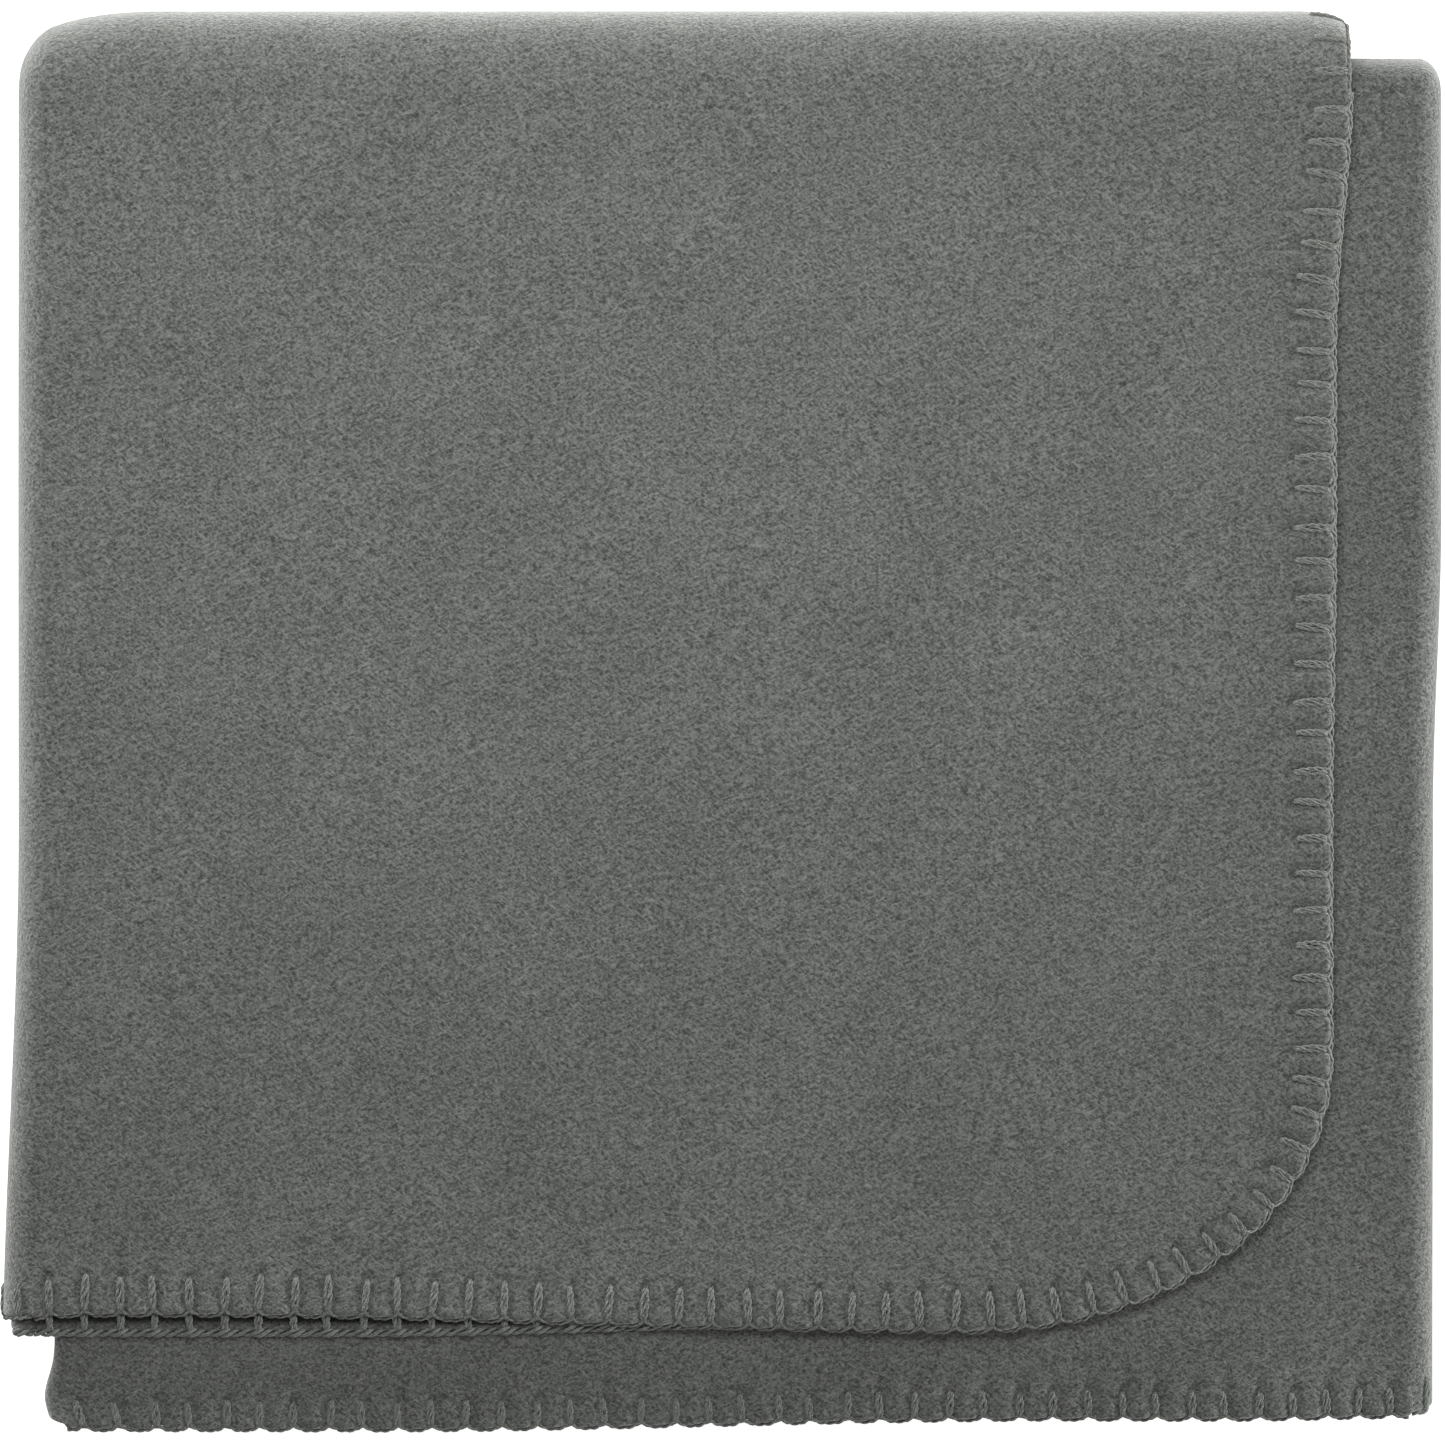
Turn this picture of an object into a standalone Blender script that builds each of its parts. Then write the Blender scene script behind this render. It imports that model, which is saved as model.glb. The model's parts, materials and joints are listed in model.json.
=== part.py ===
"""A brushed fleece throw, folded and stacked in a flat square packet.

The cloth is folded three times. It is doubled along its length, so that it is two plies deep, with
the cut edges together. It is then rolled across into four layers: tucked end, middle flap, base and
top flap. Last, the rolled stack is folded in half, with the cut edges uppermost, so the packet has
an upper half and a lower half, joined round the top fold. The cloth's edge is whipped all round with
thick yarn. Metres, +Z up. The packet lies on z = 0, and the origin is the middle of its footprint.

A point of the cloth is placed in two steps. The roll carries n, the height above the doubled cloth's
inner face, to x and h, the height above the plane where the two halves meet. The last fold then
carries h to y and z. The upper half opens about the top fold.
"""

import math

import bmesh
import bpy
from mathutils import Vector

# The throw, spread flat.
THROW_WIDTH = 1.270
THROW_LENGTH = 1.520
CORNER_RADIUS = 0.093
CLOTH = 0.0020

# How it is folded.
PLY_GAP = 0.0003
TUCKED_LENGTH = 0.096
TUCK_STEP = 0.0018
FLAP_STEP = 0.0203
FLAP_SHORT = 0.0290
FLAP_PLY_STEP = 0.0022
FLAP_RISE = 0.0041
CREASE_STEP = 0.0160
DROP_LENGTH = 0.0400
DROP_CLEARANCE = 0.0080

# The edge yarn.
YARN = 0.0019
YARN_GAP = 0.0003
STITCH_PITCH = 0.0097
STITCH_BITE = 0.0100
STITCH_WIDTH = 0.0030
STITCH_HEIGHT = 0.0012

# How finely curves are faceted.
ROLL_STEPS = 8
TOP_FOLD_STEPS = 10
CREASE_STEPS = 4
CORNER_STEPS = 7
DROP_STEPS = 6
YARN_SIDES = 7

FLEECE_COLOUR = (0.118, 0.124, 0.116, 1.0)
YARN_COLOUR = (0.140, 0.147, 0.138, 1.0)

# Worked out from the sizes above. A layer of the roll is two plies deep.
PLY = CLOTH + PLY_GAP
LAYER = 2 * PLY
STACK = 4 * LAYER
FACE_N = 1.5 * PLY
INNER_N = 0.5 * PLY
ROLL_ARCS = math.pi * LAYER * (0.5 + 0.5 + 1.5)
SPAN = (THROW_WIDTH - TUCKED_LENGTH - ROLL_ARCS + TUCK_STEP + FLAP_STEP) / 3
PACKET_WIDTH = SPAN + 3 * LAYER - PLY_GAP
LENGTH_ARCS = 2 * math.pi * STACK / 2 + math.pi * INNER_N
REACH = (THROW_LENGTH - LENGTH_ARCS + 2 * CREASE_STEP) / 4
PACKET_DEPTH = REACH + STACK + FLAP_RISE + YARN_GAP + YARN - PLY_GAP / 2

LEFT_FOLD_X = -PACKET_WIDTH / 2 + 2 * LAYER - PLY_GAP / 2
RIGHT_FOLD_X = LEFT_FOLD_X + SPAN
TUCK_FOLD_X = LEFT_FOLD_X + TUCK_STEP
TUCKED_END_X = TUCK_FOLD_X + TUCKED_LENGTH
FLAP_END_X = RIGHT_FOLD_X - FLAP_STEP
TUCK_CORNER_RADIUS = min(CORNER_RADIUS, TUCKED_LENGTH - LAYER)

MEETING_Z = STACK - PLY_GAP / 2
LOWER_EDGE_Y = -PACKET_DEPTH / 2 + YARN_GAP + YARN
FLAP_EDGE_Y = LOWER_EDGE_Y + FLAP_SHORT
TOP_FOLD_Y = LOWER_EDGE_Y + REACH


def lerp(start, end, share):
    return start + (end - start) * share


def shares(steps):
    return [step / steps for step in range(steps + 1)]


def clear_scene():
    for thing in list(bpy.data.objects):
        bpy.data.objects.remove(thing, do_unlink=True)


def make_material(name, colour, roughness):
    material = bpy.data.materials.new(name)
    material.use_nodes = True
    shader = material.node_tree.nodes["Principled BSDF"]
    shader.inputs["Base Color"].default_value = colour
    shader.inputs["Roughness"].default_value = roughness
    shader.inputs["Metallic"].default_value = 0.0
    return material


def add_empty(name, location):
    empty = bpy.data.objects.new(name, None)
    empty.location = location
    bpy.context.collection.objects.link(empty)
    bpy.context.view_layer.update()
    return empty


def add_object(name, builder, material, body):
    """Turn a bmesh into a named object with outward faces, hung on its body's empty."""
    bmesh.ops.recalc_face_normals(builder, faces=builder.faces)
    mesh = bpy.data.meshes.new(name)
    builder.to_mesh(mesh)
    builder.free()
    mesh.shade_smooth()
    mesh.set_sharp_from_angle(angle=math.radians(40))
    mesh.materials.append(material)
    thing = bpy.data.objects.new(name, mesh)
    bpy.context.collection.objects.link(thing)
    thing.parent = body
    thing.matrix_parent_inverse = body.matrix_world.inverted()
    return thing


# The roll, as columns from the tucked end to the flap's free end. Beyond the tucked end the
# layers above it drop by its thickness.


def drop_stations():
    """x where the slope bends, and how much of the drop lies behind it there."""
    start = TUCKED_END_X + YARN_GAP + YARN + DROP_CLEARANCE
    bends = []
    for share in shares(DROP_STEPS):
        bends.append((start + DROP_LENGTH * share, share * share * (3 - 2 * share)))
    return bends


DROP = drop_stations()


def drop_share(x):
    """Straight between the bends, so that cloth and yarn share their facets."""
    if x <= DROP[0][0]:
        return 0.0
    for (low, low_share), (high, high_share) in zip(DROP, DROP[1:]):
        if x <= high:
            return lerp(low_share, high_share, (x - low) / (high - low))
    return 1.0


class Panel:
    """A flat stretch of the roll at height h, with its face looking up (1) or down (-1)."""

    def __init__(self, h, facing, drops=False):
        self.h = h
        self.facing = facing
        self.drops = drops

    def at(self, x, n):
        drop = LAYER * drop_share(x) if self.drops else 0.0
        return x, self.h - drop + self.facing * n


class Fold:
    """Half a turn of the roll about a line along Y. Its station runs from 0 to 1."""

    def __init__(self, x, h, inner_radius, rising):
        self.x = x
        self.h = h
        self.inner_radius = inner_radius
        self.rising = rising

    def at(self, station, n):
        radius = self.inner_radius + n
        if self.rising:
            angle = lerp(1.5, 0.5, station) * math.pi
        else:
            angle = lerp(0.5, -0.5, station) * math.pi
        return self.x + radius * math.cos(angle), self.h + radius * math.sin(angle)


TUCKED = Panel(2 * LAYER, -1)
TUCK_FOLD = Fold(TUCK_FOLD_X, 2 * LAYER, 0.0, True)
MIDDLE = Panel(2 * LAYER, 1, drops=True)
RIGHT_FOLD = Fold(RIGHT_FOLD_X, LAYER, 0.0, False)
BASE = Panel(LAYER, -1)
LEFT_FOLD = Fold(LEFT_FOLD_X, 2 * LAYER, LAYER, True)
FLAP = Panel(3 * LAYER, 1, drops=True)


class Column:
    """One place along the roll: its stretch and station, and the corner's radius where the cloth
    ends there. The flap's edges lie higher in y than the middle flap's, and the base runs askew
    from the one to the other. The flap also stands further out round the top fold."""

    def __init__(self, stretch, station, corner=None):
        self.stretch = stretch
        self.station = station
        self.corner = corner
        self.rise = 0.0
        askew = 0.0
        if stretch is BASE:
            askew = (RIGHT_FOLD_X - station) / SPAN
        elif stretch is LEFT_FOLD:
            askew = 1.0
            self.rise = FLAP_RISE * station
        elif stretch is FLAP:
            askew = 1.0
            self.rise = FLAP_RISE + LAYER * drop_share(station)
        self.edge_y = LOWER_EDGE_Y + FLAP_SHORT * askew
        self.inner_edge_y = self.edge_y - FLAP_PLY_STEP * askew

    def at(self, n, setback=0.0):
        """x and h, at n above the inner face. The setback is from a free end, along x."""
        return self.stretch.at(self.station - setback, n)


def roll_columns():
    bends = [x for x, share in DROP]
    columns = [Column(TUCKED, TUCKED_END_X, TUCK_CORNER_RADIUS)]
    columns += [Column(TUCK_FOLD, share) for share in shares(ROLL_STEPS)]
    columns += [Column(MIDDLE, x) for x in bends]
    columns += [Column(RIGHT_FOLD, share) for share in shares(ROLL_STEPS)]
    columns += [Column(BASE, x) for x in reversed(bends)]
    columns += [Column(LEFT_FOLD, share) for share in shares(ROLL_STEPS)]
    columns += [Column(FLAP, x) for x in bends]
    columns.append(Column(FLAP, FLAP_END_X, CORNER_RADIUS))
    return columns


COLUMNS = roll_columns()
TUCKED_COLUMN = COLUMNS[0]
FLAP_COLUMN = COLUMNS[-1]


# The last fold. Each half lies flat, and the cloth turns from one to the other about the line
# where they meet.


def meeting_z(x):
    return MEETING_Z - LAYER * drop_share(x)


def in_upper(x, y, h):
    return Vector((x, y, meeting_z(x) + h))


def in_lower(x, y, h):
    return Vector((x, y, meeting_z(x) - h))


def in_top_fold(x, h, rise, share):
    angle = math.pi * share
    y = TOP_FOLD_Y + (h + rise) * math.sin(angle)
    return Vector((x, y, meeting_z(x) + h * math.cos(angle)))


def closed_grid(face, back):
    """A closed solid between two grids of points, each a list of equally long columns."""
    builder = bmesh.new()
    layers = []
    for grid in (face, back):
        layers.append([[builder.verts.new(point) for point in column] for column in grid])
    count = len(face[0])
    for layer in layers:
        for near, far in zip(layer, layer[1:]):
            for row in range(count - 1):
                builder.faces.new((near[row], near[row + 1], far[row + 1], far[row]))
    front, rear = layers
    for edge in (0, -1):
        for near in range(len(front) - 1):
            ends = (front[near][edge], front[near + 1][edge])
            builder.faces.new((*ends, rear[near + 1][edge], rear[near][edge]))
        for row in range(count - 1):
            ends = (front[edge][row], front[edge][row + 1])
            builder.faces.new((*ends, rear[edge][row + 1], rear[edge][row]))
    return builder


def corner_rows(radius):
    """Height above the edge and setback from the end, on a rounded corner."""
    rows = []
    for share in shares(CORNER_STEPS):
        angle = math.pi / 2 * share
        rows.append((radius * (1 - math.cos(angle)), radius * (1 - math.sin(angle))))
    return rows


def upper_ply(middle_n, inner):
    """One ply of the upper half, from its cut edge up to the top fold."""
    grids = []
    for n in (middle_n + CLOTH / 2, middle_n - CLOTH / 2):
        grid = []
        for column in COLUMNS:
            edge_y = column.inner_edge_y if inner else column.edge_y
            points = []
            for rise, setback in corner_rows(column.corner or CORNER_RADIUS):
                x, h = column.at(n, setback if column.corner else 0.0)
                points.append(in_upper(x, edge_y + rise, h))
            x, h = column.at(n)
            points.append(in_upper(x, TOP_FOLD_Y - PLY_GAP, h))
            grid.append(points)
        grids.append(grid)
    return closed_grid(*grids)


def crease_rows(column):
    """y and n down the face ply, round the crease and up the inner ply, with the direction that
    the face looks there."""
    crease_y = column.inner_edge_y + CREASE_STEP
    rows = [(TOP_FOLD_Y - PLY_GAP, FACE_N, 0.0, 1.0)]
    for share in shares(CREASE_STEPS):
        down, out = -math.sin(math.pi * share), math.cos(math.pi * share)
        rows.append((crease_y + INNER_N * down, PLY + INNER_N * out, down, out))
    rows.append((TOP_FOLD_Y - PLY_GAP, INNER_N, 0.0, -1.0))
    return rows


def lower_half():
    """Both plies of the lower half, which are one stretch of cloth, doubled at the crease."""
    grids = []
    for offset in (CLOTH / 2, -CLOTH / 2):
        grid = []
        for column in COLUMNS:
            points = []
            for y, n, face_y, face_n in crease_rows(column):
                x, h = column.at(n + offset * face_n)
                points.append(in_lower(x, y + offset * face_y, h))
            grid.append(points)
        grids.append(grid)
    return closed_grid(*grids)


def top_fold_ply(middle_n):
    """One ply of the top fold, the whole width of the roll."""
    grids = []
    for n in (middle_n + CLOTH / 2, middle_n - CLOTH / 2):
        grid = []
        for column in COLUMNS:
            x, h = column.at(n)
            points = [in_top_fold(x, h, column.rise, share) for share in shares(TOP_FOLD_STEPS)]
            grid.append(points)
        grids.append(grid)
    return closed_grid(*grids)


# The yarn. It follows stops along the cloth's edge. A stop is a point in the middle of the
# cloth's thickness, with the directions out past the edge and out of the cloth's face.


class Stop:
    """stitch numbers the stitch that the stop belongs to, if any."""

    def __init__(self, point, out, facing, stitch=None):
        self.point = point
        self.out = out
        self.facing = facing.normalized()
        self.stitch = stitch

    def at(self, out, facing):
        return self.point + out * self.out + facing * self.facing


def long_edge_stop(column, n, edge_y, stitch=None):
    """A stop on a long edge in the upper half."""
    x, h = column.at(n)
    outer_x, outer_h = column.at(n + CLOTH)
    facing = Vector((outer_x - x, 0, outer_h - h))
    return Stop(in_upper(x, edge_y, h), Vector((0, -1, 0)), facing, stitch)


def end_stop(column, n, y, stitch=None):
    """A stop on the cloth's end in the upper half, above the corner."""
    x, h = column.at(n)
    facing = Vector((0, 0, column.stretch.facing))
    return Stop(in_upper(x, y, h), Vector((1, 0, 0)), facing, stitch)


def corner_stop(column, n, edge_y, angle, stitch=None):
    """A stop on a rounded corner, at an angle from the long edge."""
    out = Vector((math.sin(angle), -math.cos(angle), 0))
    x, h = column.at(n, column.corner * (1 - out.x))
    facing = Vector((0, 0, column.stretch.facing))
    return Stop(in_upper(x, edge_y + column.corner * (1 + out.y), h), out, facing, stitch)


def corner_stops(column, n, edge_y):
    return [corner_stop(column, n, edge_y, math.pi / 2 * share) for share in shares(CORNER_STEPS)]


def with_stitches(total, bends):
    """Lengths along a stretch of edge, each with its stitch's number or None. The stitches are
    spread evenly, as near to the pitch as they fit, and the bends are kept."""
    count = max(1, round(total / STITCH_PITCH))
    stops = []
    middles = [(number + 0.5) * total / count for number in range(count)]
    for number, middle in enumerate(middles):
        stops.append((middle - STITCH_WIDTH / 2, number))
        stops.append((middle + STITCH_WIDTH / 2, number))
    least = STITCH_WIDTH / 20
    for bend in bends:
        if all(abs(bend - length) > least for length, number in stops[: 2 * count]):
            inside = [n for n, middle in enumerate(middles) if abs(bend - middle) < STITCH_WIDTH / 2]
            stops.append((bend, inside[0] if inside else None))
    return sorted(stops, key=lambda stop: stop[0])


def middle_flap_stops():
    """The middle flap's lower edge, between its folds, with its stitches."""
    bends = [x - TUCK_FOLD_X for x, share in DROP]
    stops = []
    for length, stitch in with_stitches(SPAN - TUCK_STEP, bends):
        column = Column(MIDDLE, TUCK_FOLD_X + length)
        stops.append(long_edge_stop(column, FACE_N, LOWER_EDGE_Y, stitch))
    return stops


def top_flap_stops():
    """The top flap's lower edge, corner and free edge, with their stitches."""
    lower = FLAP_END_X - CORNER_RADIUS - LEFT_FOLD_X
    arc = CORNER_RADIUS * math.pi / 2
    upright = TOP_FOLD_Y - PLY_GAP - FLAP_EDGE_Y - CORNER_RADIUS
    bends = [x - LEFT_FOLD_X for x, share in DROP]
    bends += [lower + arc * share for share in shares(CORNER_STEPS)]
    stops = []
    for length, stitch in with_stitches(lower + arc + upright, bends):
        if length < lower:
            column = Column(FLAP, LEFT_FOLD_X + length)
            stops.append(long_edge_stop(column, FACE_N, FLAP_EDGE_Y, stitch))
        elif length <= lower + arc:
            angle = (length - lower) / CORNER_RADIUS
            stops.append(corner_stop(FLAP_COLUMN, FACE_N, FLAP_EDGE_Y, angle, stitch))
        else:
            y = FLAP_EDGE_Y + CORNER_RADIUS + length - lower - arc
            stops.append(end_stop(FLAP_COLUMN, FACE_N, y, stitch))
    return stops


def upper_face_stops():
    """All of the upper half's face ply, from the tucked end round to the flap's free edge."""
    n = FACE_N
    stops = [end_stop(TUCKED_COLUMN, n, TOP_FOLD_Y - PLY_GAP)]
    stops += reversed(corner_stops(TUCKED_COLUMN, n, LOWER_EDGE_Y))
    hidden = {}
    for column in COLUMNS[1:-1]:
        stop = long_edge_stop(column, n, column.edge_y)
        hidden.setdefault(column.stretch, []).append(stop)
    stops += hidden[TUCK_FOLD] + middle_flap_stops() + hidden[RIGHT_FOLD]
    stops += hidden[BASE] + hidden[LEFT_FOLD] + top_flap_stops()
    stops.append(end_stop(FLAP_COLUMN, n, TOP_FOLD_Y - PLY_GAP))
    return stops


def upper_inner_stops():
    """The same way round the upper half's inner ply."""
    n = INNER_N
    flap_edge = FLAP_COLUMN.inner_edge_y
    stops = [end_stop(TUCKED_COLUMN, n, TOP_FOLD_Y - PLY_GAP)]
    stops += reversed(corner_stops(TUCKED_COLUMN, n, LOWER_EDGE_Y))
    for column in COLUMNS[1:-1]:
        stops.append(long_edge_stop(column, n, column.inner_edge_y))
    stops += corner_stops(FLAP_COLUMN, n, flap_edge)
    stops.append(end_stop(FLAP_COLUMN, n, TOP_FOLD_Y - PLY_GAP))
    return stops


def lower_stops(column):
    """The cloth's end in the lower half: down the face ply, round the crease, up the inner."""
    stops = []
    for y, n, face_y, face_n in crease_rows(column):
        x, h = column.at(n)
        facing = Vector((0, face_y, -face_n * column.stretch.facing))
        stops.append(Stop(in_lower(x, y, h), Vector((1, 0, 0)), facing))
    return stops


def top_fold_stops(column, n):
    """The cloth's end round the top fold."""
    stops = []
    for share in shares(TOP_FOLD_STEPS):
        x, h = column.at(n)
        point = in_top_fold(x, h, column.rise, share)
        facing = in_top_fold(x, h + CLOTH, column.rise, share) - point
        stops.append(Stop(point, Vector((1, 0, 0)), facing))
    return stops


STITCH_UNDER = CLOTH / 2 + YARN_GAP
STITCH_OVER = STITCH_UNDER + STITCH_HEIGHT
STITCH_FACE = 5


def cord_profile():
    """The yarn's round section, as distances out and along facing."""
    profile = []
    for side in range(YARN_SIDES):
        angle = 2 * math.pi * (side - 2.25) / YARN_SIDES
        out = YARN_GAP + YARN / 2 * (1 + math.cos(angle))
        profile.append((out, YARN / 2 * math.sin(angle)))
    return profile


def stitch_profile():
    """The same where a stitch starts: it rises past the cloth's face. Its points match the round
    section's, and the stitch leaves between the last two."""
    near, far, chamfer = YARN_GAP, YARN_GAP + YARN, YARN / 4
    return [
        (near, -YARN / 2),
        (far - chamfer, -YARN / 2),
        (far, -YARN / 2 + chamfer),
        (far, STITCH_OVER - 2 * chamfer),
        (far - 2 * chamfer, STITCH_OVER),
        (near, STITCH_OVER),
        (near, STITCH_UNDER),
    ]


def edge_yarn(stops):
    """A cord along the stops, with a loop over the cloth's face wherever they share a stitch."""
    builder = bmesh.new()
    rings = []
    tips = []
    for stop in stops:
        profile = cord_profile() if stop.stitch is None else stitch_profile()
        rings.append([builder.verts.new(stop.at(out, facing)) for out, facing in profile])
        tips.append(None)
        if stop.stitch is not None:
            heights = (STITCH_OVER, STITCH_UNDER)
            tips[-1] = [builder.verts.new(stop.at(-STITCH_BITE, height)) for height in heights]
    stitched = [False]
    for near, far in zip(stops, stops[1:]):
        stitched.append(near.stitch is not None and near.stitch == far.stitch)
    stitched.append(False)
    for gap, (near, far) in enumerate(zip(rings, rings[1:]), start=1):
        for side in range(YARN_SIDES):
            after = (side + 1) % YARN_SIDES
            if side != STITCH_FACE or not stitched[gap]:
                builder.faces.new((near[side], near[after], far[after], far[side]))
        if not stitched[gap]:
            continue
        near_tip, far_tip = tips[gap - 1], tips[gap]
        for level in (0, 1):
            side = STITCH_FACE + level
            builder.faces.new((near[side], far[side], far_tip[level], near_tip[level]))
        builder.faces.new((near_tip[0], far_tip[0], far_tip[1], near_tip[1]))
        for ring, tip, closed in (
            (near, near_tip, not stitched[gap - 1]),
            (far, far_tip, not stitched[gap + 1]),
        ):
            if closed:
                root = (ring[STITCH_FACE], ring[STITCH_FACE + 1])
                builder.faces.new((*root, tip[1], tip[0]))
    builder.faces.new(rings[0])
    builder.faces.new(rings[-1])
    return builder


# The model: the lower half, which the packet rests on, the top fold, and the upper half, which
# opens about the line where the halves meet.

clear_scene()
fleece = make_material("brushed_fleece", FLEECE_COLOUR, 0.95)
yarn = make_material("edge_yarn", YARN_COLOUR, 0.85)
lower_body = add_empty("lower_half_body", (0, 0, 0))
upper_body = add_empty("upper_half_body", (0, TOP_FOLD_Y, MEETING_Z))

add_object("lower_half_cloth", lower_half(), fleece, lower_body)
for name, column in (("flap", FLAP_COLUMN), ("tucked", TUCKED_COLUMN)):
    add_object(f"lower_half_{name}_yarn", edge_yarn(lower_stops(column)), yarn, lower_body)

for ply, n in (("face", FACE_N), ("inner", INNER_N)):
    add_object(f"top_fold_{ply}_ply", top_fold_ply(n), fleece, lower_body)
    for name, column in (("flap", FLAP_COLUMN), ("tucked", TUCKED_COLUMN)):
        stops = top_fold_stops(column, n)
        add_object(f"top_fold_{ply}_{name}_yarn", edge_yarn(stops), yarn, lower_body)

add_object("upper_half_face_ply", upper_ply(FACE_N, False), fleece, upper_body)
add_object("upper_half_inner_ply", upper_ply(INNER_N, True), fleece, upper_body)
add_object("upper_half_face_yarn", edge_yarn(upper_face_stops()), yarn, upper_body)
add_object("upper_half_inner_yarn", edge_yarn(upper_inner_stops()), yarn, upper_body)
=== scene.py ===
"""A brushed fleece throw with a whipped edge, folded into a flat square packet."""

import json
import math
import random

import bmesh
import bpy
import numpy as np
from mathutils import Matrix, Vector, kdtree


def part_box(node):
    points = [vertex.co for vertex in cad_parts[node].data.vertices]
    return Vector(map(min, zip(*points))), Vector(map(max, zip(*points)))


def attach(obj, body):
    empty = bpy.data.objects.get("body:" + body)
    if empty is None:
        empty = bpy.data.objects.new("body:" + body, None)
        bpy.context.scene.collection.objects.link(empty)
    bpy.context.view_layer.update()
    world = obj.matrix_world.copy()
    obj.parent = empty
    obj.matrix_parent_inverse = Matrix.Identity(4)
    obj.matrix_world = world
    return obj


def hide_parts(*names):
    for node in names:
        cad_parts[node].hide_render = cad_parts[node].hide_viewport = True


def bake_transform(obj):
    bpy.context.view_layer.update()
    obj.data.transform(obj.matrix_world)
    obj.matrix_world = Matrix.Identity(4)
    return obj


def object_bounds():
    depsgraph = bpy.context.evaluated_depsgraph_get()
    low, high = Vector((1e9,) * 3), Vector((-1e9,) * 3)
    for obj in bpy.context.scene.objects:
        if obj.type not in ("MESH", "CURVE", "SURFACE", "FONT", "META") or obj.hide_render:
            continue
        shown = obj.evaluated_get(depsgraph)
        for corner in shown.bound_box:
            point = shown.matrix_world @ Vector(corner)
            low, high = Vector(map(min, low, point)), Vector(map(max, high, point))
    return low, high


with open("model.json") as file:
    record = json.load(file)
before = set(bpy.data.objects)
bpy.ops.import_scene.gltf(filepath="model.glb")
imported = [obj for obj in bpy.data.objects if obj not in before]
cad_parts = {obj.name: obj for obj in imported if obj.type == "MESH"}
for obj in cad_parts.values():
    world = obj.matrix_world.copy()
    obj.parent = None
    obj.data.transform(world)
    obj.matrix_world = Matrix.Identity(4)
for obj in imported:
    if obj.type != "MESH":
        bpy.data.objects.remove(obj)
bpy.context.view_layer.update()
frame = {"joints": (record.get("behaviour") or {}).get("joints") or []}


# --- The fleece --------------------------------------------------------------------------------
# Knitted polyester, brushed on both faces until the fibres stand up in a felted nap.
# The nap makes it matt and soft at the folds, with clumps about a millimetre across,
# a faint lie to the fibres, and a pale bloom wherever it is seen edge on.


def linear(hex_colour):
    """An sRGB hex colour as linear red, green, blue and alpha."""
    channels = [int(hex_colour[place : place + 2], 16) / 255 for place in (1, 3, 5)]
    return [c / 12.92 if c <= 0.04045 else ((c + 0.055) / 1.055) ** 2.4 for c in channels] + [1.0]


def add_node(tree, kind, settings=(), values=(), links=()):
    """Add a node, with its settings, the values on its sockets, and what feeds it. A Mix node's
    sockets have numbers: 0 is the share, 2 and 3 are two values, and 6 and 7 are two colours."""
    made = tree.nodes.new(kind)
    for name, value in dict(settings).items():
        setattr(made, name, value)
    for name, value in dict(values).items():
        made.inputs[name].default_value = value
    for name, source in dict(links).items():
        tree.links.new(source, made.inputs[name])
    return made


def millimetres(size):
    """The scale of a pattern whose features are this many millimetres across."""
    return 1000 / size


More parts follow.
